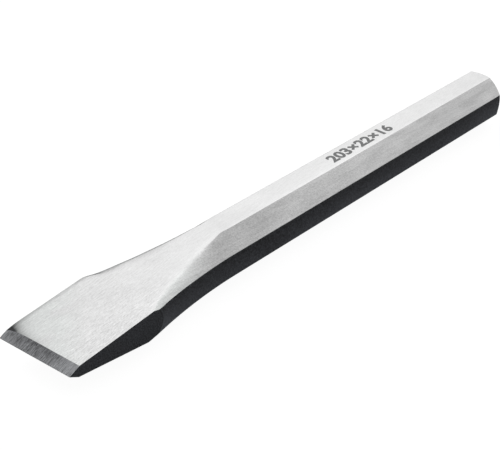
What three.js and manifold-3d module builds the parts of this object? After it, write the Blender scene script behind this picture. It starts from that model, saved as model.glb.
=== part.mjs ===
// Flat cold chisel: one forging from octagonal bar, 203 mm long (8 in),
// 22.2 mm wide across the cutting edge (7/8 in), 15.9 mm across the flats (5/8 in).
//
// Frame: millimetres, +Z up, tool lying on the bottom flat of its shank.
//   +X runs along the tool from the cutting edge to the struck head,
//   +Y runs across the blade, parallel to the cutting edge.
//   Origin: centre of the bounding box in X and Y, on the resting plane in Z.
//
// The tool is modelled on the bar's axis and moved to that frame at the end:
// until then x is a station, counted from the cutting edge (0) to the struck
// face (LENGTH), and z is a height counted from the axis.

import * as THREE from 'three';
import { mergeVertices } from 'three/addons/utils/BufferGeometryUtils.js';
import Module from 'manifold-3d';

// ---------------------------------------------------------------- dimensions
const LENGTH = 203.2; // overall length
const FLATS = 15.875; // octagonal bar, across flats
const BLADE_WIDTH = 22.225; // across the two ground blade edges

const BEVEL_LENGTH = 3.108; // cutting bevel, measured along the tool
const BEVEL_HALF = 1.571; // half thickness of the blade where the bevel starts
const EDGE_LAND = 0.1; // blunt land left on the cutting edge
const WEDGE_END = 64.6; // station where the two wedge planes run out into the bar
const FLARE_RATE = 0.0525; // the forged sides sweep out by (FLARE_RATE * distance)^2
const FLARE_CROWN = 0.28; // full bulge of the forged side at mid height
const FACET_SWELL = 0.13; // full growth of the forged side's half height
const BLADE_REAR = 32; // station where bulge and swell are full
const CORNER_END = 200.4; // station where the bar's corners meet the head chamfer
const STRUCK_DIAMETER = 11.6; // flat struck face left inside the chamfer

const HALF_FLATS = FLATS / 2;
const HALF_FACE = HALF_FLATS * Math.tan(Math.PI / 8); // half width of each octagon face
const CORNER_RADIUS = HALF_FLATS / Math.cos(Math.PI / 8); // circumscribed radius

// ------------------------------------------------------- solids and booleans
const wasm = await Module();
wasm.setup();

// Makes a manifold solid: welds the vertices and drops collapsed triangles.
function toSolid(geometry) {
  geometry.deleteAttribute('normal');
  geometry.deleteAttribute('uv');
  const welded = mergeVertices(geometry, 1e-5);
  const index = welded.index.array;
  const triangles = [];
  for (let i = 0; i < index.length; i += 3) {
    const [a, b, c] = [index[i], index[i + 1], index[i + 2]];
    if (a !== b && b !== c && c !== a) triangles.push(a, b, c);
  }
  const mesh = new wasm.Mesh({
    numProp: 3,
    vertProperties: new Float32Array(welded.attributes.position.array),
    triVerts: new Uint32Array(triangles),
  });
  return new wasm.Manifold(mesh);
}

// Makes a flat-shaded geometry from a solid.
function toGeometry(solid) {
  const mesh = solid.getMesh();
  const positions = new Float32Array(mesh.vertProperties);
  const geometry = new THREE.BufferGeometry();
  geometry.setAttribute('position', new THREE.BufferAttribute(positions, 3));
  geometry.setIndex(new THREE.BufferAttribute(new Uint32Array(mesh.triVerts), 1));
  const flat = geometry.toNonIndexed();
  flat.computeVertexNormals();
  return flat;
}

// ------------------------------------------------------------ the forged bar
// An octagon whose two side faces carry extra corners, so that the flare can be
// crowned. Its top and bottom stand proud of the finished faces, to be ground off.
const SPARE = 0.8; // how far they stand proud
const SIDE_STEPS = 8; // divisions up each side face
const END_OVERRUN = 1; // how far the bar runs past each end of the tool
const FLARE_STEP = 1.42; // spacing of the stations along the flare
const FLARE_STEPS_STOP = 22; // the evenly spaced stations stop at this one

// How far the forging has developed: 0 on the plain bar, 1 at the blade's rear.
function forgedAt(x) {
  return THREE.MathUtils.clamp((WEDGE_END - x) / (WEDGE_END - BLADE_REAR), 0, 1);
}

// Half width of the forged side, before its bulge.
function flareHalfWidth(x) {
  const sweep = Math.max(0, WEDGE_END - x) * FLARE_RATE;
  return HALF_FLATS + sweep * sweep;
}

// Half height of the wedge planes, running out at the bar's flat.
function wedgeHalfHeight(x) {
  const t = (x - BEVEL_LENGTH) / (WEDGE_END - BEVEL_LENGTH);
  return Math.min(BEVEL_HALF + t * (HALF_FLATS - BEVEL_HALF), HALF_FLATS);
}

// Corners [y, z] of the section at a station: up the +Y side, then down the -Y side.
function sectionAt(x) {
  const forged = forgedAt(x);
  const halfWidth = flareHalfWidth(x);
  const sideHalfHeight = HALF_FACE + FACET_SWELL * forged;
  const top = wedgeHalfHeight(x) + SPARE;
  const topHalfWidth = halfWidth + sideHalfHeight - top; // along the 45 degree face

  const plusSide = [[topHalfWidth, -top]];
  for (let k = 0; k <= SIDE_STEPS; k++) {
    const rise = (2 * k) / SIDE_STEPS - 1; // -1 at the side's lower corner, 1 at its upper
    const bulge = FLARE_CROWN * forged * (1 - rise * rise);
    plusSide.push([halfWidth + bulge, rise * sideHalfHeight]);
  }
  plusSide.push([topHalfWidth, top]);

  const minusSide = plusSide.map(([y, z]) => [-y, z]).reverse();
  return [...plusSide, ...minusSide];
}

// Stations of the sections, from beyond the cutting edge to beyond the head.
function barStations() {
  const stations = [LENGTH + END_OVERRUN, 150, 100];
  for (let x = WEDGE_END; x > FLARE_STEPS_STOP; x -= FLARE_STEP) stations.push(x);
  stations.push(16, 8, -END_OVERRUN);
  return stations.reverse();
}

function nearestCorner(corners, y, z) {
  const distances = corners.map(([cornerY, cornerZ]) => Math.hypot(y - cornerY, z - cornerZ));
  return distances.indexOf(Math.min(...distances));
}

// Extrudes the plain section in layers 1 apart, then lays it along X and gives
// every layer the section of its own station.
function forgedBar() {
  const stations = barStations();
  const sections = stations.map(sectionAt);
  const plain = sectionAt(LENGTH);
  const steps = stations.length - 1;
  const shape = new THREE.Shape(plain.map(([y, z]) => new THREE.Vector2(y, z)));
  const bar = new THREE.ExtrudeGeometry(shape, { steps, depth: steps, bevelEnabled: false });

  const position = bar.attributes.position;
  for (let i = 0; i < position.count; i++) {
    const layer = Math.round(position.getZ(i));
    const corner = nearestCorner(plain, position.getX(i), position.getY(i));
    position.setXYZ(i, stations[layer], ...sections[layer][corner]);
  }
  return bar;
}

// ------------------------------------------------------ grinding and dressing
// Each of these is the volume that its operation leaves.

// Side view: cutting bevels, wedge planes and the bar's top and bottom flats.
function sideProfile() {
  const depth = 60; // clear of the bar on both sides
  const lower = [ // station, height
    [0, -EDGE_LAND / 2],
    [BEVEL_LENGTH, -BEVEL_HALF],
    [WEDGE_END, -HALF_FLATS],
    [LENGTH, -HALF_FLATS],
  ];
  const upper = lower.map(([x, z]) => [x, -z]).reverse();
  const shape = new THREE.Shape(
    [...lower, ...upper].map(([x, z]) => new THREE.Vector2(x, z)),
  );
  const profile = new THREE.ExtrudeGeometry(shape, { depth, bevelEnabled: false });
  profile.rotateX(Math.PI / 2);
  profile.translate(0, depth / 2, 0);
  return profile;
}

// The slab between the two ground blade edges.
function bladeSlab() {
  const endClearance = 10;
  const height = 40;
  const slab = new THREE.BoxGeometry(LENGTH + 2 * endClearance, BLADE_WIDTH, height);
  slab.translate(LENGTH / 2, 0, 0);
  return slab;
}

// The head: a cone that takes the corners off, down to the round struck face.
function headCone() {
  const struckRadius = STRUCK_DIAMETER / 2;
  const wideRadius = 16; // clear of the whole forging
  const tail = -10; // clear of the cutting edge
  const slope = (CORNER_RADIUS - struckRadius) / (LENGTH - CORNER_END);
  const coneStart = LENGTH - (wideRadius - struckRadius) / slope;
  const outline = [ // radius, station
    [0, tail],
    [wideRadius, tail],
    [wideRadius, coneStart],
    [struckRadius, LENGTH],
    [0, LENGTH],
  ];
  const points = outline.map(([radius, x]) => new THREE.Vector2(radius, x));
  const cone = new THREE.LatheGeometry(points, 96);
  cone.rotateZ(-Math.PI / 2);
  return cone;
}

// ------------------------------------------------------------------ the part
function satinSteel() {
  return new THREE.MeshStandardMaterial({
    name: 'satin_ground_steel',
    color: 0xcfd1d0,
    roughness: 0.38,
    metalness: 1.0,
  });
}

function chisel() {
  const solid = toSolid(forgedBar())
    .intersect(toSolid(sideProfile()))
    .intersect(toSolid(bladeSlab()))
    .intersect(toSolid(headCone()));
  const geometry = toGeometry(solid);
  geometry.translate(-LENGTH / 2, 0, HALF_FLATS);

  const mesh = new THREE.Mesh(geometry, satinSteel());
  mesh.name = 'chisel';
  return mesh;
}

const part = new THREE.Group();
part.name = 'cold_chisel';
part.add(chisel());

export default part;
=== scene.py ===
"""A flat cold chisel lying on a pale floor.

The bar lies along X with its cutting edge at the -X end, its struck face at the +X end
and its blade spread along Y. Its lower face is at z = 0.
"Near" is the -Y side, "far" the +Y side.
"""
import math

import bpy
import numpy as np
from mathutils import Matrix, Vector


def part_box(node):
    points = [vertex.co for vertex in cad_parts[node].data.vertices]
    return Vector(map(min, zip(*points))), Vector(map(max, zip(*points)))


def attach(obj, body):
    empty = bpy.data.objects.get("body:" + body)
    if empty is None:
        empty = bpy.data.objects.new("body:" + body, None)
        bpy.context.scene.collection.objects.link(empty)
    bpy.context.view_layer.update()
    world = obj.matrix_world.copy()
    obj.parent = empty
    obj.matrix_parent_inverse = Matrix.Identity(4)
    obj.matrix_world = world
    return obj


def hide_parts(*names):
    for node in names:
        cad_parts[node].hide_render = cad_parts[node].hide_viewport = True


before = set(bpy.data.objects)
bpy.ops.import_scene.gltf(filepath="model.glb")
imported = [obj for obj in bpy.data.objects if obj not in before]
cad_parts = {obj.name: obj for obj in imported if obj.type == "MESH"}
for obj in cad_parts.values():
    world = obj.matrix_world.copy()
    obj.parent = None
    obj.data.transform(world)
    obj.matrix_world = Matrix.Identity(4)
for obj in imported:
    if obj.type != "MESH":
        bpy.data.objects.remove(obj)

scene = bpy.context.scene
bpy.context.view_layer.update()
node_lo, node_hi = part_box("chisel")
MM = 0.001

# ---------------------------------------------------------------------------
# Sizes of the forging, in millimetres. x counts from the cutting edge to the
# struck face, y runs across the blade, z from the bar's axis.
# ---------------------------------------------------------------------------
LENGTH = (node_hi.x - node_lo.x) / MM
HALF_BAR = (node_hi.z - node_lo.z) / MM / 2
HALF_BLADE = (node_hi.y - node_lo.y) / MM / 2
LAND = 0.1              # height of the blunt strip at the cutting edge
BEVEL_END = 3.108
BEVEL_HALF = 1.571      # half height where the bevel meets the wedge
BLADE_REAR = 32.0
WEDGE_END = 64.6
FLARE_RATE = 0.0525
CROWN = 0.28            # bulge of the forged sides
SWELL = 0.13            # extra half height of the forged sides
STRUCK_R = 5.8
CORNER_END = 200.4      # where the cone of the head cuts the bar's corners
BAR_SIDE = HALF_BAR * math.tan(math.pi / 8)
CORNER_R = HALF_BAR / math.cos(math.pi / 8)
HEAD_SLOPE = (CORNER_R - STRUCK_R) / (LENGTH - CORNER_END)
WEDGE_SLOPE = (HALF_BAR - BEVEL_HALF) / (WEDGE_END - BEVEL_END)
BEVEL_SLOPE = (BEVEL_HALF - LAND / 2) / BEVEL_END

# Height over a sloping face times this is about the distance from the face.
WEDGE_SCALE, BEVEL_SCALE = 0.99468, 0.8983

# Low far front corner of the upper blade face.
DIP_DEPTH = 0.36
DIP_FROM_Y = 2.0
DIP_END_X, DIP_RUN = 6.0, 3.8
DIP_POWER_Y, DIP_POWER_X = 3.0, 1.8

# Blending widths of the rounded edges.
ROUND_WEDGE_END, ROUND_BEVEL = 0.18, 0.018
ROUND_EDGE, ROUND_FAR_EDGE, ROUND_FLARE = 0.07, 0.1, 0.42
ROUND_BLADE, ROUND_CONE = 0.03, 0.09
ROUND_STRUCK, ROUND_LAND = 0.16, 0.02

# Tables of the upper facets: (x, value).
FAR_FOOT_DROP = [
    (23.5, 0), (26, 0.42), (27.2, 0.48), (28.3, 0.31), (29.5, 0.21), (31.2, 0.25),
    (33.5, 0.22), (34.5, 0.19), (35.6, 0.18), (36.5, 0.14), (37.6, 0.07), (40, 0),
]
FOOT_RISE = [
    (24, 0.95), (27, 0.70), (30.7, 0.32), (33, 0.21), (36, 0.17), (40, 0.10),
    (46, 0), (51, -0.04), (58, 0),
]
FACET_LEAN = [
    (26, 1.45), (31, 1.50), (32.5, 1.48), (34.5, 1.37), (37, 1.29), (40, 1.21), (44, 1.135),
    (48, 1.085), (52, 1.07), (56, 1.04), (60, 1.03), (63, 1.06), (66.5, 1),
]
FAR_LEAN_EXTRA = [
    (28, 0), (31.5, 0.17), (34.5, 0.10), (37, 0), (40, -0.025), (44, -0.045),
    (48, -0.055), (52, -0.045), (57, 0),
]


def smoothstep(start, end, x):
    share = np.clip((x - start) / (end - start), 0.0, 1.0)
    return share * share * (3 - 2 * share)


def spline(x, table):
    """Smooth curve through the pairs of a table, level beyond both ends."""
    places, values = np.array(table, float).T
    slope = np.gradient(values, places)
    slope[0] = slope[-1] = 0.0
    x = np.clip(x, places[0], places[-1])
    i = np.clip(np.searchsorted(places, x, side="right") - 1, 0, len(places) - 2)
    gap = places[i + 1] - places[i]
    t = (x - places[i]) / gap
    return ((2 * t**3 - 3 * t**2 + 1) * values[i] + (t**3 - 2 * t**2 + t) * gap * slope[i]
            + (3 * t**2 - 2 * t**3) * values[i + 1] + (t**3 - t**2) * gap * slope[i + 1])


def forged(x):
    """1 on the blade, fading to 0 at the end of the wedge."""
    return np.clip((WEDGE_END - x) / (WEDGE_END - BLADE_REAR), 0.0, 1.0)


def half_width(x):
    return HALF_BAR + (np.maximum(0.0, WEDGE_END - x) * FLARE_RATE) ** 2


def side_half(x):
    """Half height of the forged side."""
    return BAR_SIDE + SWELL * forged(x)


def crowned_width(x, z):
    """Half width of the bulging side, before the blade's flat sides cut it."""
    return half_width(x) + CROWN * forged(x) * np.maximum(1 - (z / side_half(x)) ** 2, 0.0)


def facet_foot(x, y, upper=True):
    """Height of the corner between the side and the 45 degree facet."""
    if not upper:
        return side_half(x)
    far = spline(x, FAR_FOOT_DROP)
    return side_half(x) - np.where(y > 0, far, 0.0) + spline(x, FOOT_RISE)


def facet_lean(x, y, upper=True):
    """Sideways run of the facet for each millimetre of rise."""
    if not upper:
        return np.ones_like(np.asarray(x, float))
    return spline(x, FACET_LEAN) + np.where(y > 0, spline(x, FAR_LEAN_EXTRA), 0.0)


def wide_half(x, y, height, upper=True):
    """Half width of the wide face at a height, where the facet starts."""
    return half_width(x) - (height - facet_foot(x, y, upper)) * facet_lean(x, y, upper)


def wedge_half(x):
    return BEVEL_HALF + (x - BEVEL_END) * WEDGE_SLOPE


def bevel_half(x):
    return LAND / 2 + x * BEVEL_SLOPE


def half_height(x):
    return np.minimum(np.minimum(wedge_half(x), bevel_half(x)), HALF_BAR)


def corner_dip(x, y, z):
    """Depth of the low far front corner of the upper blade face."""
    across = np.clip((y - DIP_FROM_Y) / (HALF_BLADE - DIP_FROM_Y), 0.0, 1.0)
    along = np.clip((DIP_END_X - x) / DIP_RUN, 0.0, 1.0)
    return np.where(z > 0, DIP_DEPTH * across**DIP_POWER_Y * along**DIP_POWER_X, 0.0)


def smooth_max(first, second, width):
    overlap = np.maximum(width - np.abs(first - second), 0.0) / width
    return np.maximum(first, second) + overlap * overlap * width * 0.25


def field(points):
    """Roughly the signed distance to the forging: its faces joined with rounded edges."""
    x, y, z = points.T
    across, height = np.abs(y), np.abs(z)
    upper = z > 0

    top = (height + corner_dip(x, y, z) - wedge_half(x)) * WEDGE_SCALE
    top = smooth_max(top, height - HALF_BAR, ROUND_WEDGE_END)
    top = smooth_max(top, (height - bevel_half(x)) * BEVEL_SCALE, ROUND_BEVEL)

    flare = -2 * FLARE_RATE**2 * np.maximum(0.0, WEDGE_END - x)
    foot = np.where(upper, facet_foot(x, y), side_half(x))
    run = np.where(upper, facet_lean(x, y), 1.0)
    facet = (across - half_width(x) + (height - foot) * run) / np.sqrt(1 + run**2 + flare**2)
    side = (across - crowned_width(x, z)) / np.sqrt(1 + flare**2)
    side = smooth_max(side, across - HALF_BLADE, ROUND_BLADE)

    in_flare = smoothstep(27.5, 36.0, x) * (1 - smoothstep(50.0, 63.0, x))
    round_top = (ROUND_EDGE + ROUND_FLARE * smoothstep(27.5, 36.0, x)
                 * (1 - smoothstep(50.0, 63.0, x)))
    round_far = np.where(y > 0, ROUND_FAR_EDGE, ROUND_EDGE)
    round_side = (ROUND_EDGE + (round_far - ROUND_EDGE) * (1 - smoothstep(24.0, 30.0, x))
                  * smoothstep(3.0, 5.0, x))
    body = smooth_max(smooth_max(top, facet, round_top), side, round_side)

    cone = np.hypot(y, z) - (STRUCK_R + HEAD_SLOPE * (LENGTH - x))
    body = smooth_max(body, cone / math.sqrt(1 + HEAD_SLOPE**2), ROUND_CONE)
    body = smooth_max(body, x - LENGTH, ROUND_STRUCK)
    return smooth_max(body, -x, ROUND_LAND)


def gradient(points, step=2e-3):
    slopes = np.empty_like(points)
    for i in range(3):
        offset = np.zeros(3)
        offset[i] = step
        slopes[:, i] = (field(points + offset) - field(points - offset)) / (2 * step)
    return slopes


def settle(points, steps=9):
    """Moves points onto the forging's surface along its gradient."""
    for _ in range(steps):
        value, slopes = field(points), gradient(points)
        points = points - (value / np.maximum((slopes * slopes).sum(1), 1e-9))[:, None] * slopes
    return points


# ---------------------------------------------------------------------------
# Grid of the forging. A quarter section runs over the wide face from its
# middle, down the facet, then down the side to mid height.
# ---------------------------------------------------------------------------
NEAR_CORNER = np.array([0.0, 0.035, 0.08, 0.14, 0.22, 0.33, 0.48, 0.68, 0.95])
FULL_RUN = 1.6          # shorter runs squeeze the lines near the corner
EVEN_STEPS = 7
SPANS = len(NEAR_CORNER) - 1 + EVEN_STEPS
WIDE, FACET, SIDE = range(3)
QUARTER_KINDS = [WIDE] * SPANS + [FACET] * (2 * SPANS) + [SIDE] * SPANS
RING_KINDS = (QUARTER_KINDS + QUARTER_KINDS[::-1]) * 2
RING = len(RING_KINDS)
STEEL, BEVEL, BLACK, HEAD, STRUCK = range(5)

# Stations along the bar: bevel, just behind it, then runs of (start, end, step).
BEVEL_STATIONS = [
    0, 0.015, 0.035, 0.07, 0.13, 0.25, 0.45, 0.8, 1.2, 1.6, 2, 2.35, 2.6, 2.78, 2.9, 2.98,
    3.04, 3.08, BEVEL_END,
]
BEHIND_BEVEL = [0.028, 0.068, 0.13, 0.22, 0.35, 0.55, 0.85, 1.25, 1.7, 2.3, 3]
STATION_RUNS = [
    (7.0, 24.9, 1.0), (25.0, 26.4, 0.35), (26.5, 30.2, 0.2), (30.3, 32.75, 0.08),
    (33.0, 38.0, 0.5), (38.0, 60.0, 0.8), (60.0, 69.0, 0.5), (69.0, 80.0, 1.6),
    (80.0, 192.0, 4.0),
]
HEAD_FROM = 192.0
# Shares of the way from there to the cone, along the cone, and of the struck face's radius.
HEAD_SHARES = [0, 0.35, 0.6, 0.78, 0.88, 0.935, 0.962, 0.978, 0.988, 0.995, 1]
CONE_SHARES = [0.012, 0.03, 0.06, 0.11, 0.2, 0.35, 0.55, 0.75, 0.87, 0.94, 0.975, 1]
FACE_SHARES = [0.992, 0.98, 0.962, 0.93, 0.87, 0.75, 0.58, 0.4, 0.24, 0.1]
WRAP_FROM = 33.0        # the black finish runs round the side's edges behind this x
WRAP_SPANS = 3
SHIFT_END = 7.5         # stations ahead of this x follow the low corner


def from_corner(total):
    """Distances from a corner: close together near it, then even steps out to total."""
    near = NEAR_CORNER * np.minimum(1.0, total / FULL_RUN)
    far = near[-1] + (total - near[-1]) * np.arange(1, EVEN_STEPS + 1) / EVEN_STEPS
    return np.concatenate([near, far])


def quarter(x, upper=True, side=-1.0):
    """Sharp-cornered (y, z) points of a quarter section; side is -1 near and 1 far."""
    height, width = float(half_height(x)), float(half_width(x))
    foot, run = float(facet_foot(x, side, upper)), float(facet_lean(x, side, upper))
    wide_end = min(width - (height - foot) * run, HALF_BLADE)
    facet_end = min(width, HALF_BLADE)
    facet_low = min(height, foot + (width - facet_end) / run)
    points = [(wide_end - gap, height) for gap in from_corner(wide_end)[::-1]]
    length = math.hypot(facet_end - wide_end, height - facet_low)
    half = from_corner(length / 2)
    for gap in np.concatenate([half[1:], length - half[::-1][1:]]):
        share = gap / length if length > 1e-9 else 1.0
        points.append((wide_end + (facet_end - wide_end) * share,
                       height + (facet_low - height) * share))
    for gap in from_corner(facet_low)[1:]:
        z = facet_low - gap
        points.append((min(crowned_width(x, z), HALF_BLADE), z))
    return np.array(points)


def whole_section(x):
    near, far, low = quarter(x), quarter(x, side=1.0), quarter(x, upper=False)
    return np.concatenate([far[:-1], low[:0:-1] * (1, -1), low[:-1] * (-1, -1),
                           near[:0:-1] * (-1, 1)])


def place(x, section):
    return np.column_stack([np.broadcast_to(x, len(section)), section])


def follow_low_corner(points):
    """Shifts the upper grid lines so that one lies on the bevel's rear edge."""
    line = np.full_like(points[:, 1], BEVEL_END)
    above = np.ones_like(line)
    for _ in range(40):
        line = BEVEL_END - corner_dip(line, points[:, 1], above) / (BEVEL_SLOPE - WEDGE_SLOPE)
    shift = BEVEL_END - line
    x = points[:, 0].copy()
    fade = np.clip((SHIFT_END - x) / (SHIFT_END - BEVEL_END), 0.0, 1.0)
    pull = np.where(x < BEVEL_END, x / BEVEL_END, fade)
    rise = np.clip(points[:, 2] / np.maximum(half_height(x), 1e-6), 0.0, 1.0)
    points[:, 0] -= shift * pull * rise * (x < SHIFT_END)


def land_grid():
    """The y and z grid lines of the blunt strip at the cutting edge."""
    section = quarter(0.0)
    wide, side = section[:SPANS + 1, 0], section[-SPANS - 1:, 1]
    return np.concatenate([-wide[::-1], wide[1:]]), np.concatenate([side, -side[::-1][1:]])


stations = np.concatenate([BEVEL_STATIONS, [BEVEL_END + gap for gap in BEHIND_BEVEL]]
                          + [np.arange(*run) for run in STATION_RUNS])
rings = [place(x, whole_section(x)) for x in stations]
body_end = len(rings)

section = whole_section(HEAD_FROM)
radius = np.hypot(section[:, 0], section[:, 1])
cone_start = LENGTH - (radius - STRUCK_R) / HEAD_SLOPE
shrink = STRUCK_R / radius
for share in HEAD_SHARES:
    rings.append(place(HEAD_FROM + (cone_start - HEAD_FROM) * share, section))
head_end = len(rings)
for share in CONE_SHARES:
    scaled = section * (1 + (shrink - 1) * share)[:, None]
    rings.append(place(cone_start + (LENGTH - cone_start) * share, scaled))
cone_end = len(rings)
for share in FACE_SHARES:
    rings.append(place(LENGTH, section * (shrink * share)[:, None]))

ring_points = np.concatenate(rings)
follow_low_corner(ring_points)
land_y, land_z = land_grid()
land_points = np.array([[0.0, y, z] for z in land_z for y in land_y])
pole = [LENGTH, 0.0, 0.0]
points = settle(np.concatenate([ring_points, land_points, [pole]]))
points[-1] = pole
points = np.clip(points, [0.0, -HALF_BLADE, -HALF_BAR], [LENGTH, HALF_BLADE, HALF_BAR])


def span_material(j, kind):
    """Material of a face between rings j and j + 1."""
    if j + 1 >= cone_end:
        return STRUCK
    if j + 1 >= head_end:
        return HEAD
    if kind == SIDE:
        return BLACK
    on_bevel = j + 1 < body_end and stations[j + 1] <= BEVEL_END + 1e-6
    return BEVEL if on_bevel else STEEL


def grid_faces():
    """Faces of the rings, the struck face's centre and the land, with their materials."""
    wrapped = list(RING_KINDS)
    for i, kind in enumerate(RING_KINDS):
        around = [RING_KINDS[(i + d) % RING] for d in range(-WRAP_SPANS, WRAP_SPANS + 1)]
        if kind == FACET and SIDE in around:
            wrapped[i] = SIDE
    faces, materials = [], []
    for j in range(len(rings) - 1):
        kinds = wrapped if j >= body_end or stations[j] > WRAP_FROM else RING_KINDS
        this, following = j * RING, (j + 1) * RING
        for i in range(RING):
            after = (i + 1) % RING
            faces.append((this + i, following + i, following + after, this + after))
            materials.append(span_material(j, kinds[i]))
    last = (len(rings) - 1) * RING
    for i in range(RING):
        faces.append((last + i, len(points) - 1, last + (i + 1) % RING))
        materials.append(STRUCK)
    row = len(land_y)
    for j in range(len(land_z) - 1):
        for i in range(row - 1):
            start = last + RING + j * row + i
            faces.append((start, start + 1, start + row + 1, start + row))
            materials.append(BEVEL)
    return faces, materials


def collapse(face, index):
    """A face in new vertex numbers, without repeats of the vertex before."""
    loop = [index[v] for v in face]
    return [v for i, v in enumerate(loop) if v != loop[i - 1]]


def weld(points, faces, materials):
    """Merges equal points, keeps their order and drops the faces that vanish."""
    keys = np.round(points * 2e4).astype(np.int64)
    _, first, group = np.unique(keys, axis=0, return_index=True, return_inverse=True)
    order = np.argsort(first)
    rank = np.empty_like(order)
    rank[order] = np.arange(len(order))
    index = rank[group.ravel()].tolist()
    kept, kept_materials = [], []
    for face, material in zip(faces, materials):
        loop = collapse(face, index)
        if len(loop) >= 3 and len(set(loop)) == len(loop):
            kept.append(loop)
            kept_materials.append(material)
    return points[first[order]], kept, kept_materials


def add_object(name, data):
    made = bpy.data.objects.new(name, data)
    scene.collection.objects.link(made)
    return made


def add_mesh(name, points, faces):
    mesh = bpy.data.meshes.new(name)
    mesh.from_pydata(points, [], faces)
    mesh.update()
    return add_object(name, mesh)


def to_frame(points):
    """Millimetres from the cutting edge to metres in the shared frame."""
    return ((points + np.array([-LENGTH / 2, 0.0, HALF_BAR])) * MM).tolist()


verts, faces, face_materials = weld(points, *grid_faces())
normals = gradient(verts)
normals /= np.linalg.norm(normals, axis=1)[:, None]
chisel = add_mesh("chisel_forging", to_frame(verts), faces)
mesh = chisel.data
mesh.polygons.foreach_set("material_index", np.array(face_materials, np.int32))
mesh.polygons.foreach_set("use_smooth", np.ones(len(faces), bool))
mesh.update()
mesh.normals_split_custom_set_from_vertices(normals.tolist())


def add_attributes(mesh, x, y, z):
    """past_edge: mm past the edge from wide face to facet, minus on the wide face;
    facet_share: that as a share of the facet; ground_side: mm the forged side would
    stand out past the blade's flat side."""
    height = half_height(x)
    start = np.where(z > 0, wide_half(x, y, height), wide_half(x, y, height, False))
    past = (np.abs(y) - start) * math.sqrt(2)
    width = np.maximum((half_width(x) - start) * math.sqrt(2), 0.5)
    for name, values in (("past_edge", past),
                         ("facet_share", np.clip(past / width, 0.0, 1.0)),
                         ("ground_side", crowned_width(x, z) - HALF_BLADE)):
        attribute = mesh.attributes.new(name, "FLOAT", "POINT")
        attribute.data.foreach_set("value", values.astype(np.float32))


add_attributes(mesh, *verts.T)


# ---------------------------------------------------------------------------
# Shader helpers
# ---------------------------------------------------------------------------
def operation(kind, swapped=False):
    """A method of Value that writes a math node."""
    def method(value, *others):
        inputs = (*others, value) if swapped else (value, *others)
        return value.graph.node("Math", dict(enumerate(inputs)), operation=kind)
    return method


class Value:
    """An output socket that takes part in arithmetic by adding nodes."""

    def __init__(self, graph, socket):
        self.graph = graph
        self.socket = socket

    __add__ = operation("ADD")
    __radd__ = operation("ADD", swapped=True)
    __sub__ = operation("SUBTRACT")
    __rsub__ = operation("SUBTRACT", swapped=True)
    __mul__ = operation("MULTIPLY")
    __truediv__ = operation("DIVIDE")
    __pow__ = operation("POWER")
    __rpow__ = operation("POWER", swapped=True)
    __abs__ = operation("ABSOLUTE")
    sign = operation("SIGN")
    sqrt = operation("SQRT")
    at_least = operation("MAXIMUM")

    def swing(self, by):
        """A noise value centred on 0 and scaled."""
        return (self - 0.5) * by

    def ramp(self, over, to=(0, 1), smooth=False):
        """Maps the range `over` onto the range `to`, level beyond it."""
        return self.graph.node("MapRange", dict(enumerate((self, *over, *to))), clamp=True,
                               interpolation_type="SMOOTHSTEP" if smooth else "LINEAR")

    def curve(self, points):
        """Piecewise linear value through (position, level) points."""
        low, high = points[0][0], points[-1][0]
        levels = self.graph.node("ValToRGB", {0: self.ramp(over=(low, high))})
        elements = levels.socket.node.color_ramp.elements
        for position, _ in points[1:-1]:
            elements.new((position - low) / (high - low))
        for element, (_, level) in zip(elements, points):
            element.color = (level, level, level, 1)
        return self.graph.node("SeparateColor", {0: levels})

    def mix(self, first, second):
        """Blends two values, this one being the factor."""
        return self.graph.node("Mix", {0: self, 2: first, 3: second}, data_type="FLOAT")

    def mix_colours(self, first, second):
        return self.graph.node("Mix", {0: self, 6: first, 7: second}, 2, data_type="RGBA")

    def grey(self, tint=(1.0, 1.0, 1.0)):
        channels = [self * part for part in tint]
        return self.graph.node("CombineColor", dict(enumerate(channels)))


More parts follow.
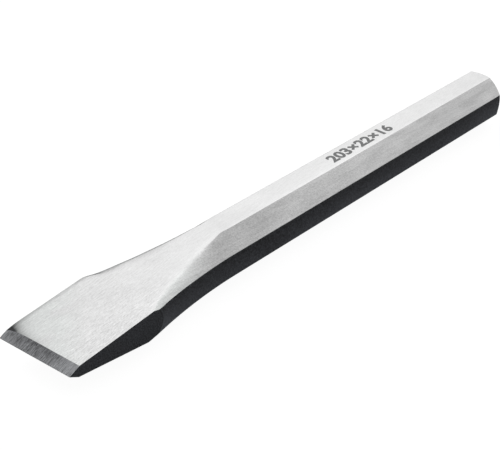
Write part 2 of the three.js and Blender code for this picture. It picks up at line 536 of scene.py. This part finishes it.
class Graph:
    """Writes the node tree of a material or a world."""

    def __init__(self, owner):
        owner.use_nodes = True
        self.owner = owner
        self.tree = owner.node_tree
        self.tree.nodes.clear()

    def node(self, kind, inputs=None, output=0, **settings):
        made = self.tree.nodes.new("ShaderNode" + kind)
        for name, setting in settings.items():
            setattr(made, name, setting)
        for slot, value in (inputs or {}).items():
            socket = made.inputs[slot]
            if isinstance(value, Value):
                self.tree.links.new(value.socket, socket)
            elif isinstance(value, tuple) and len(value) < len(socket.default_value):
                socket.default_value = (*value, 1.0)
            else:
                socket.default_value = value
        return Value(self, made.outputs[output]) if len(made.outputs) else None

    def position(self):
        """Object position in mm, x from the cutting edge, z from the bar's axis."""
        place = self.node("TexCoord", output="Object")
        return self.node("Mapping", {"Vector": place, "Scale": (1000, 1000, 1000),
                                     "Location": (LENGTH / 2, 0, -HALF_BAR)})

    def split(self, vector):
        node = self.node("SeparateXYZ", {0: vector}).socket.node
        return [Value(self, socket) for socket in node.outputs]

    def noise(self, vector, scale=1.0, detail=2.0, rough=0.5):
        return self.node("TexNoise", {"Vector": vector, "Scale": scale, "Detail": detail,
                                      "Roughness": rough})

    def grain(self, u, v, per_mm, seed, detail=2.0, rough=0.5):
        """Noise over u and v, with per_mm its scale along each and seed the third place."""
        place = self.node("CombineXYZ", {0: u * per_mm[0], 1: v * per_mm[1], 2: seed})
        return self.noise(place, detail=detail, rough=rough)

    def streaks(self, u, v, angle, long, wide, seed, detail=3.0, rough=0.55):
        """Marks about `long` mm by `wide` mm, at an angle in degrees to u."""
        cosine, sine = math.cos(math.radians(angle)), math.sin(math.radians(angle))
        along = u * (cosine / long) + v * (sine / long)
        across = v * (cosine / wide) + u * (-sine / wide)
        place = self.node("CombineXYZ", {0: along, 1: across, 2: seed})
        return self.noise(place, detail=detail, rough=rough)

    def attribute(self, name):
        return self.node("Attribute", output="Fac", attribute_name=name)

    def bump(self, height, strength, distance_mm):
        return self.node("Bump", {"Strength": strength, "Distance": distance_mm * MM,
                                  "Height": height})

    def surface(self, colour, metallic, roughness, normal, specular=None):
        """Ends a material with a Principled shader."""
        inputs = {"Base Color": colour, "Metallic": metallic, "Roughness": roughness,
                  "Normal": normal}
        if specular is not None:
            inputs["Specular IOR Level"] = specular
        self.node("OutputMaterial", {"Surface": self.node("BsdfPrincipled", inputs)})
        return self.owner


def material_graph(name):
    return Graph(bpy.data.materials.new(name))


# ---------------------------------------------------------------------------
# Materials. Curves over x are (mm from the cutting edge, level), curves over y
# (mm from the middle, level). Factors in a sum of marks are their shares.
# ---------------------------------------------------------------------------
def wide_tone(graph, x, y, past, top, only_top):
    """Ground wide faces: level with painted light and shade, brush lines, their strength and
    the broad clouds.
    """
    lines = (
        graph.streaks(x, y, angle=2, long=3.6, wide=0.40, seed=3) * 0.26
        + graph.streaks(x, y, angle=7, long=1.6, wide=0.30, seed=9) * 0.27
        + graph.streaks(x, y, angle=-4, long=2, wide=0.42, seed=15) * 0.15
        + graph.streaks(x, y, angle=34, long=1.2, wide=0.42, seed=22) * 0.12)
    seed = top * 17 + 40    # differs between upper and lower faces
    lines += graph.grain(x, y, per_mm=(2.4, 2.8), seed=seed, detail=1) * 0.20
    cloud = graph.grain(x, y, per_mm=(0.09, 0.16), seed=seed)

    # Lines are stronger on the blade than on the shank, most of all at its near side.
    strength = x.curve([(3, 0.95), (14, 1), (26, 1), (40, 0.7), (66, 0.46), (203, 0.45)])
    near_side = y.ramp(over=(4, -8), to=(-0.12, 0.35))
    strength = strength * (1.0 + x.ramp(over=(20, 40), to=(1, 0)) * near_side)
    wide = 1.0 + lines.swing(by=1.6) * strength + cloud.swing(by=0.18)

    # Painted shade behind the bevel, deepest at the far front corner; fade is per mm.
    bevel_shade_from = 2.75 + y.ramp(over=(8, 11), to=(0, 0.75))
    behind = (x - bevel_shade_from).at_least(0.0)
    depth = y.curve([(-11.2, 0.04), (-4, 0.10), (0, 0.18), (4, 0.36), (7, 0.50),
                     (8.4, 0.68), (9.5, 0.86), (11.2, 0.96)])
    fade = y.curve([(-11.2, 1), (0, 0.9), (4, 0.74), (7, 0.6), (9.5, 0.52), (11.2, 0.40)])
    painted_bevel_shade = 2.718 ** (behind * fade * -1.0)
    wide = wide * (1.0 - painted_bevel_shade * depth * only_top)

    # Painted shade: slowly darker to the front; the near edge keeps a quarter of it.
    far = y.ramp(over=(-9, 10.5), smooth=True)
    front = x.ramp(over=(4, 32), to=(0.085, 0), smooth=True)
    wide = wide - front * (0.25 + far * 0.75)

    # Painted shade on the far edge: a thin dark line beside the blade, a wider dark band in the
    # flare.
    wear_and_edge_shade = y.ramp(over=(9.7, 11), smooth=True) * x.curve(
        [(3, 0.34), (10, 0.30), (20, 0.25), (28, 0.28), (30.5, 0.36)])
    wide = wide * (1.0 - wear_and_edge_shade * only_top)
    band = past.ramp(over=(-3.4, 0), smooth=True) * y.ramp(over=(2, 4))
    wide = wide - band * x.curve(
        [(27, 0.05), (31, 0.16), (46, 0.17), (54, 0.06), (62, 0), (203, 0)])

    # Painted highlight along the near edge, beside the facet.
    painted_edge_highlight = past.ramp(over=(-3.4, -1), smooth=True) * y.ramp(over=(-2, -3))
    wide = wide + painted_edge_highlight * x.curve([
        (27, 0), (31, 0.03), (38, 0.045), (44, 0.05), (48, 0.025), (52, 0.035),
        (60, 0.065), (64, 0.03), (90, 0.03), (110, 0.045), (203, 0.02)])
    # Level along the length, with painted light and shade in its rises and falls.
    along = x.curve([
        (3, 0.775), (26, 0.775), (36, 0.785), (50, 0.80), (62, 0.80), (66, 0.80),
        (69, 0.84), (75, 0.855), (90, 0.855), (110, 0.86), (150, 0.845), (165, 0.83),
        (180, 0.82), (190, 0.795), (203, 0.785)])
    return wide * along, lines, strength, cloud


def facet_tone(graph, x, y, z, top, only_top):
    """Satin 45 degree facets: level with painted light and shade, and grain."""
    # Distance across the facet, with an offset that sets each facet's marks apart.
    across = (abs(y) - abs(z)) * 0.7071
    across = across + y.sign() * 31 + top * 57
    grain = (
        graph.streaks(x, across, angle=50, long=1, wide=0.36, seed=5) * 0.28
        + graph.streaks(x, across, angle=3, long=1.3, wide=0.32, seed=11) * 0.32
        + graph.grain(x, across, per_mm=(2.3, 2.6), seed=2, rough=0.6) * 0.40)
    mottle = graph.grain(x, across, per_mm=(0.1, 0.33), seed=8, detail=1)
    bands = graph.streaks(x, across, angle=1.5, long=13, wide=0.8, seed=19, detail=1)
    # Painted light and shade along the facets: their level rises and falls along x.
    region = x.curve([
        (28, 0.70), (36, 0.695), (44, 0.665), (48, 0.622), (50, 0.632), (52, 0.652),
        (54, 0.638), (56, 0.60), (59, 0.515), (62, 0.51), (66, 0.545), (72, 0.54),
        (79, 0.52), (90, 0.58), (104, 0.59), (125, 0.60), (150, 0.59), (170, 0.57),
        (190, 0.575), (203, 0.59)])
    # Painted highlight: lighter beside the wide face in the flare and again halfway along the
    # shank.
    lift = x.curve([
        (30, 0.10), (42, 0.28), (48, 0.46), (54, 0.40), (57, 0.20), (61, 0.03),
        (88, 0), (98, 0.17), (130, 0.13), (152, 0), (203, -0.04)])
    share = graph.attribute("facet_share")
    beside_wide = share.ramp(over=(0, 0.8), to=(1, 0)) - 0.42
    grain_strength = x.curve([(28, 0.55), (50, 0.62), (60, 0.86), (110, 0.80),
                              (150, 0.62), (203, 0.58)])
    # Painted highlight on the facets' half next to the side, along the shank.
    side_lift = x.curve([(56, 0), (64, 0.09), (112, 0.10), (132, 0.04), (150, 0), (203, 0)])
    facet = (1.0 + grain.swing(by=2.3) * grain_strength + mottle.swing(by=0.4)
             + bands.swing(by=0.3) + lift * beside_wide
             + share.ramp(over=(0.55, 0.85)) * side_lift)
    # The far facet starts beside the blade as a narrow bright sliver, a painted highlight.
    sliver = y.ramp(over=(1, 2)) * only_top * x.curve([
        (30, 0), (31.5, 0.2), (33.2, 0.45), (35, 0.38), (36.5, 0.25), (38, 0.10),
        (40, 0), (203, 0)])
    return facet * region * (1.0 + sliver), grain


def steel_material():
    """Bright ground faces and the satin facets."""
    graph = material_graph("ground_steel")
    x, y, z = graph.split(graph.position())
    # Shift in mm of the painted edge shading into the wide face, in the flare.
    edge_shift = x.curve([(33, 0), (39, 0.22), (44, 0.30), (52, 0.24), (60, 0.10),
                          (64, 0.07), (67, 0), (203, 0)])
    past = graph.attribute("past_edge") + edge_shift
    top = z.sign()
    only_top = z.ramp(over=(0.2, 0.6))
    wide_level, lines, strength, cloud = wide_tone(graph, x, y, past, top, only_top)
    facet_level, grain = facet_tone(graph, x, y, z, top, only_top)

    # Painted shade: a thin dark line on the far edge where the facet starts beside the blade.
    painted_start_shade = y.ramp(over=(1, 2)) * only_top * past.ramp(over=(-0.55, -0.1)) * x.curve([
        (28, 0), (29.3, 0.55), (30.4, 0.6), (31.2, 0.35), (32, 0.1), (32.8, 0), (203, 0)])
    # The faces blend over these millimetres before and after the edge; the spread paints the
    # shading of the rounded edge.
    before = x.curve([(26, 0.25), (30, 0.7), (44, 0.95), (53, 0.85), (58, 0.45),
                      (64, 0.12), (203, 0.06)])
    after = x.curve([(26, 0.2), (30, 0.35), (44, 0.4), (53, 0.25), (58, 0.2), (64, 0.1),
                     (90, 0.12), (100, 0.2), (203, 0.12)])
    on_facet = ((past + before) / (before + after)).ramp(over=(0, 1), smooth=True)
    level = on_facet.mix(wide_level, facet_level) * (1.0 - painted_start_shade)

    # A trace of green at the front of the blade and on the flare's facets.
    blade_front = (x - y * 0.9).ramp(over=(9, 17), to=(1, 0))
    warm = (1.0 - on_facet) * blade_front + on_facet * x.ramp(over=(40, 56), to=(1, 0))
    warm = warm * cloud.ramp(over=(0.3, 0.5))
    colour = warm.mix_colours(level.grey(), level.grey(tint=(0.985, 1.006, 0.996)))

    # The unground corner keeps its dark forging scale, up to a slanting ragged line.
    line = 2.9 + (y - 8.2).at_least(0.0) * 0.20
    jag = graph.grain(x, y, per_mm=(2, 3), seed=1).swing(by=0.5)
    scale = (line + jag - x).ramp(over=(-0.55, 0.1))
    scale = scale * y.ramp(over=(8.4, 9)) * z.ramp(over=(0.2, 0.4))
    rough_wide = lines.ramp(over=(0.3, 0.7), to=(0.27, 0.37))
    rough_facet = grain.ramp(over=(0.3, 0.7), to=(0.36, 0.48))
    marks = on_facet.mix(lines * strength, grain)
    return graph.surface(
        colour=scale.mix_colours(colour, (0.012, 0.0125, 0.014)),
        metallic=1.0 - scale * 0.9,
        roughness=on_facet.mix(rough_wide, rough_facet) + scale * 0.2,
        normal=graph.bump(marks, strength=0.5, distance_mm=0.05))


def bevel_material():
    graph = material_graph("bevel_ground_steel")
    x, y, _ = graph.split(graph.position())
    coarse = graph.streaks(x, y, angle=-1, long=3.2, wide=0.40, seed=2, rough=0.6)
    fine = graph.streaks(x, y, angle=-4, long=1.7, wide=0.2, seed=6, detail=2, rough=0.6)
    cross = graph.streaks(x, y, angle=5, long=0.8, wide=0.24, seed=13, detail=2, rough=0.6)
    broad = graph.grain(x, y, per_mm=(0.2, 0.16), seed=3, detail=1)
    tone = coarse * 0.28 + fine * 0.44 + cross * 0.28
    # Painted light and shade on the bevel: lighter at its front and darker at its rear except
    # at the near side, lighter towards both sides, and a painted highlight on the very near
    # edge.
    near = y.ramp(over=(-1.5, -9), smooth=True)
    slope = x.ramp(over=(0.2, 3), to=(0.08, -0.26))
    painted_near_edge_highlight = y.ramp(over=(-10.85, -11.05), to=(0, 0.35))
    far = y.ramp(over=(4, 9.5), to=(0, 0.26), smooth=True)
    slope_fade, near_lift = 1.0, 0.50   # loss of slope and gain of light at the near side
    level = (1.0 + tone.swing(by=6.6) + slope * (1.0 - near * slope_fade)
             + near * near_lift + far + broad.swing(by=0.2) + painted_near_edge_highlight)
    darkest, brightness = 0.2, 0.218
    level = level.at_least(darkest) * brightness
    return graph.surface(
        colour=level.grey(tint=(0.981, 0.997, 1.033)),
        metallic=1.0,
        roughness=tone.ramp(over=(0.3, 0.7), to=(0.42, 0.30)),
        normal=graph.bump(tone, strength=0.5, distance_mm=0.06))


def black_material():
    graph = material_graph("black_side_finish")
    position = graph.position()
    x, y, z = graph.split(position)
    peel = graph.noise(position, scale=0.9)
    cloud = graph.noise(position, scale=0.06, detail=3)
    speck = graph.grain(x, y, per_mm=(2.7, 2.7), seed=z * 2.7, rough=0.7)
    beyond = graph.attribute("ground_side")
    on_flat = beyond.ramp(over=(-0.02, 0.015))
    rim = beyond.ramp(over=(-0.06, -0.01)) * beyond.ramp(over=(0.03, 0))
    # Painted light: greyer towards the lower edge of the sides, even on the blade's own flat
    # side, and varying along the length.
    low_lift = x.curve([
        (28, 1.9), (34, 1.65), (36, 1.4), (40, 1.1), (46, 0.9), (62, 0.7), (80, 0.55),
        (100, 0.85), (120, 1.05), (160, 0.8), (180, 0.9), (203, 1.35)])
    ground = x.curve([(28, 1.2), (34, 1.15), (40, 0.98), (50, 0.9), (180, 0.86),
                      (203, 0.95)])
    low = z.ramp(over=(3.4, -3.3)) ** 1.3
    swept = ground + low * low_lift * 2.0
    marks = speck.swing(by=7.4) + peel.swing(by=0.4) + cloud.swing(by=0.4)
    flat_level, flat_marks, rim_dark = 1.38, 1.25, 0.7
    level = on_flat.mix(swept, flat_level) + marks * on_flat.mix(1.0, flat_marks)
    level = level * (1.0 - rim * rim_dark)
    darkest, brightness = 0.1, 0.0288
    return graph.surface(
        colour=(level.at_least(darkest) * brightness).grey(tint=(0.925, 0.98, 1.10)),
        metallic=0.0,
        specular=0.3,
        roughness=(peel * 0.3 + speck * 0.7).ramp(over=(0.3, 0.7), to=(0.38, 0.5)),
        normal=graph.bump(peel * 0.4 + speck * 0.6, strength=0.4, distance_mm=0.05))


def head_material(name, rings_per_mm):
    """Turned steel with rings about the bar's axis."""
    graph = material_graph(name)
    position = graph.position()
    x, y, z = graph.split(position)
    radius = (y * y + z * z).sqrt()
    turning = graph.grain(radius, x, per_mm=(rings_per_mm, rings_per_mm), seed=4,
                          detail=3, rough=0.65)
    cloud = graph.noise(position, scale=0.25, detail=3, rough=0.55)
    tone = (turning * 0.7 + cloud * 0.3).ramp(over=(0.32, 0.68))
    return graph.surface(
        colour=tone.mix_colours((0.47, 0.475, 0.48), (0.66, 0.665, 0.67)),
        metallic=1.0,
        roughness=tone.ramp(over=(0, 1), to=(0.46, 0.34)),
        normal=graph.bump(turning, strength=0.5, distance_mm=0.05))


# In the order of STEEL, BEVEL, BLACK, HEAD, STRUCK.
for material in (steel_material(), bevel_material(), black_material(),
                 head_material("head_chamfer_steel", rings_per_mm=3.0),
                 head_material("struck_face_steel", rings_per_mm=2.2)):
    mesh.materials.append(material)

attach(chisel, "root")
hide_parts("chisel")

# ---------------------------------------------------------------------------
# Size numbers printed on the upper flat: length, width and bar in millimetres
# ---------------------------------------------------------------------------
PRINT_TEXT = "203\u00d722\u00d716"
PRINT_FROM, PRINT_TO, PRINT_HALF = 116.2, 147.0, 1.9
PRINT_THICK, PRINT_LIFT = 0.03, 0.005


def numbers(text):
    """Welded points and faces of a row of numbers."""
    curve = bpy.data.curves.new("numbers", "FONT")
    curve.body = text
    curve.resolution_u = 3
    curve.offset = 0.039
    curve.extrude = 0.5
    temporary = add_object("numbers", curve)
    bpy.context.view_layer.update()
    shape = temporary.evaluated_get(bpy.context.evaluated_depsgraph_get())
    made = shape.to_mesh()
    points = np.array([vertex.co[:] for vertex in made.vertices])
    faces = [tuple(polygon.vertices) for polygon in made.polygons]
    shape.to_mesh_clear()
    bpy.data.objects.remove(temporary)
    bpy.data.curves.remove(curve)
    _, first, group = np.unique(np.round(points * 1e4).astype(np.int64), axis=0,
                                return_index=True, return_inverse=True)
    index = group.ravel().tolist()
    loops = [collapse(face, index) for face in faces]
    return points[first], [loop for loop in loops if len(set(loop)) >= 3]


def print_material():
    graph = material_graph("size_number_print")
    x, y, _ = graph.split(graph.position())
    wear_and_edge_shade = (graph.streaks(x, y, angle=3, long=1.6, wide=0.3, seed=4) * 0.6
            + graph.grain(x, y, per_mm=(2, 2.4), seed=7, rough=0.6) * 0.4)
    level = 0.15 + wear_and_edge_shade.swing(by=0.22)
    return graph.surface(
        colour=level.grey(tint=(0.99, 1.0, 1.01)),
        metallic=0.0,
        specular=0.35,
        roughness=wear_and_edge_shade.ramp(over=(0.3, 0.7), to=(0.4, 0.55)),
        normal=graph.bump(wear_and_edge_shade, strength=0.3, distance_mm=0.01))


print_points, print_faces = numbers(PRINT_TEXT)
low, high = print_points.min(0), print_points.max(0)
print_points = (print_points - (low + high) / 2) / (high - low)
print_points = print_points * (PRINT_TO - PRINT_FROM, 2 * PRINT_HALF, PRINT_THICK)
print_points = print_points + ((PRINT_FROM + PRINT_TO) / 2, 0.0, HALF_BAR + PRINT_LIFT)
size_numbers = add_mesh("size_numbers", to_frame(print_points), print_faces)
size_numbers.data.materials.append(print_material())
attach(size_numbers, "root")

# ---------------------------------------------------------------------------
# Floor, light, camera (metres)
# ---------------------------------------------------------------------------
FLOOR_HALF, FLOOR_DROP = 6, 0.00004
WHITE = (1, 1, 1, 1)


def floor_material():
    """Nearly white to the camera, dim grey to everything else."""
    graph = material_graph("pale_floor")
    seen = graph.node("AddShader", {
        0: graph.node("BsdfDiffuse", {"Color": (0.12, 0.12, 0.12, 1)}),
        1: graph.node("Emission", {"Color": WHITE, "Strength": 0.935})})
    dim = graph.node("BsdfDiffuse", {"Color": (0.20, 0.20, 0.205, 1)})
    camera_ray = graph.node("LightPath", output="Is Camera Ray")
    mixed = graph.node("MixShader", {0: camera_ray, 1: dim, 2: seen})
    graph.node("OutputMaterial", {"Surface": mixed})
    return graph.owner


def build_world():
    """White to the camera; reflections see a room of soft screens."""
    world = bpy.data.worlds.new("studio")
    scene.world = world
    graph = Graph(world)
    direction = graph.node("TexCoord", output="Generated")

    def screen(toward, over, to):
        """Soft patch of light about a direction; `over` is the cosine range."""
        facing = graph.node("VectorMath", {0: direction, 1: tuple(Vector(toward).normalized())},
                            "Value", operation="DOT_PRODUCT")
        return facing.ramp(over, to, smooth=True)

    struck_end = screen(toward=(0.80, 0.15, 0.55), over=(0.30, 1), to=(0, 0.79))
    fill = screen(toward=(-0.75, -0.45, 0.45), over=(0.45, 1), to=(0, 0.60))
    overhead = screen(toward=(0.0, 0.0, 1.0), over=(0.3, 1), to=(0, 0.14))
    behind_blade = screen(toward=(-0.68, 0.55, 0.40), over=(0.55, 0.95), to=(0, 0.62))
    # A dark flag low on the far side, at the struck end.
    flag = screen(toward=(0.66, 0.75, -0.12), over=(0.78, 0.97), to=(1, 0.25))
    grey_room = 0.27
    level = (struck_end + fill + (overhead + behind_blade + grey_room)) * flag
    room = graph.node("Background", {"Color": WHITE, "Strength": level})
    back = graph.node("Background", {"Color": WHITE, "Strength": 1.0})
    camera_ray = graph.node("LightPath", output="Is Camera Ray")
    mixed = graph.node("MixShader", {0: camera_ray, 1: room, 2: back})
    graph.node("OutputWorld", {"Surface": mixed})


def add_softbox():
    """Square key light above the far side, aimed at the origin, unseen in reflections."""
    data = bpy.data.lights.new("softbox_key", "AREA")
    data.shape = "RECTANGLE"
    data.size = data.size_y = 0.9
    data.energy = 3.0
    lamp = add_object("softbox_key", data)
    lamp.location = (-0.25, 0.55, 0.95)
    lamp.rotation_mode = "QUATERNION"
    lamp.rotation_quaternion = (-Vector((-0.25, 0.55, 0.95))).to_track_quat("-Z", "Y")
    lamp.visible_glossy = False


def add_camera():
    data = bpy.data.cameras.new("camera")
    data.sensor_width = 36.0
    data.lens = 110.127
    data.shift_x, data.shift_y = 0.001, -0.001
    data.clip_start, data.clip_end = 0.01, 50.0
    camera = add_object("camera", data)
    # Columns: the camera's right, up and backward directions, and its place.
    camera.matrix_world = Matrix((
        (0.60809293, 0.35483226, -0.71015284, -0.30818261),
        (-0.78994804, 0.35921927, -0.4969342, -0.20078545),
        (0.0787723, 0.86316602, 0.49873775, 0.21145359),
        (0, 0, 0, 1),
    ))
    scene.camera = camera


corners = [(x * FLOOR_HALF, y * FLOOR_HALF, 0) for x, y in ((-1, -1), (1, -1), (1, 1), (-1, 1))]
floor = add_mesh("floor", corners, [(0, 1, 2, 3)])
floor.location = (0, 0, -FLOOR_DROP)
floor.data.materials.append(floor_material())
build_world()
add_softbox()
add_camera()

view = scene.view_settings
view.view_transform = "Standard"
view.look = "None"
view.exposure = 0.0
view.gamma = 1.0
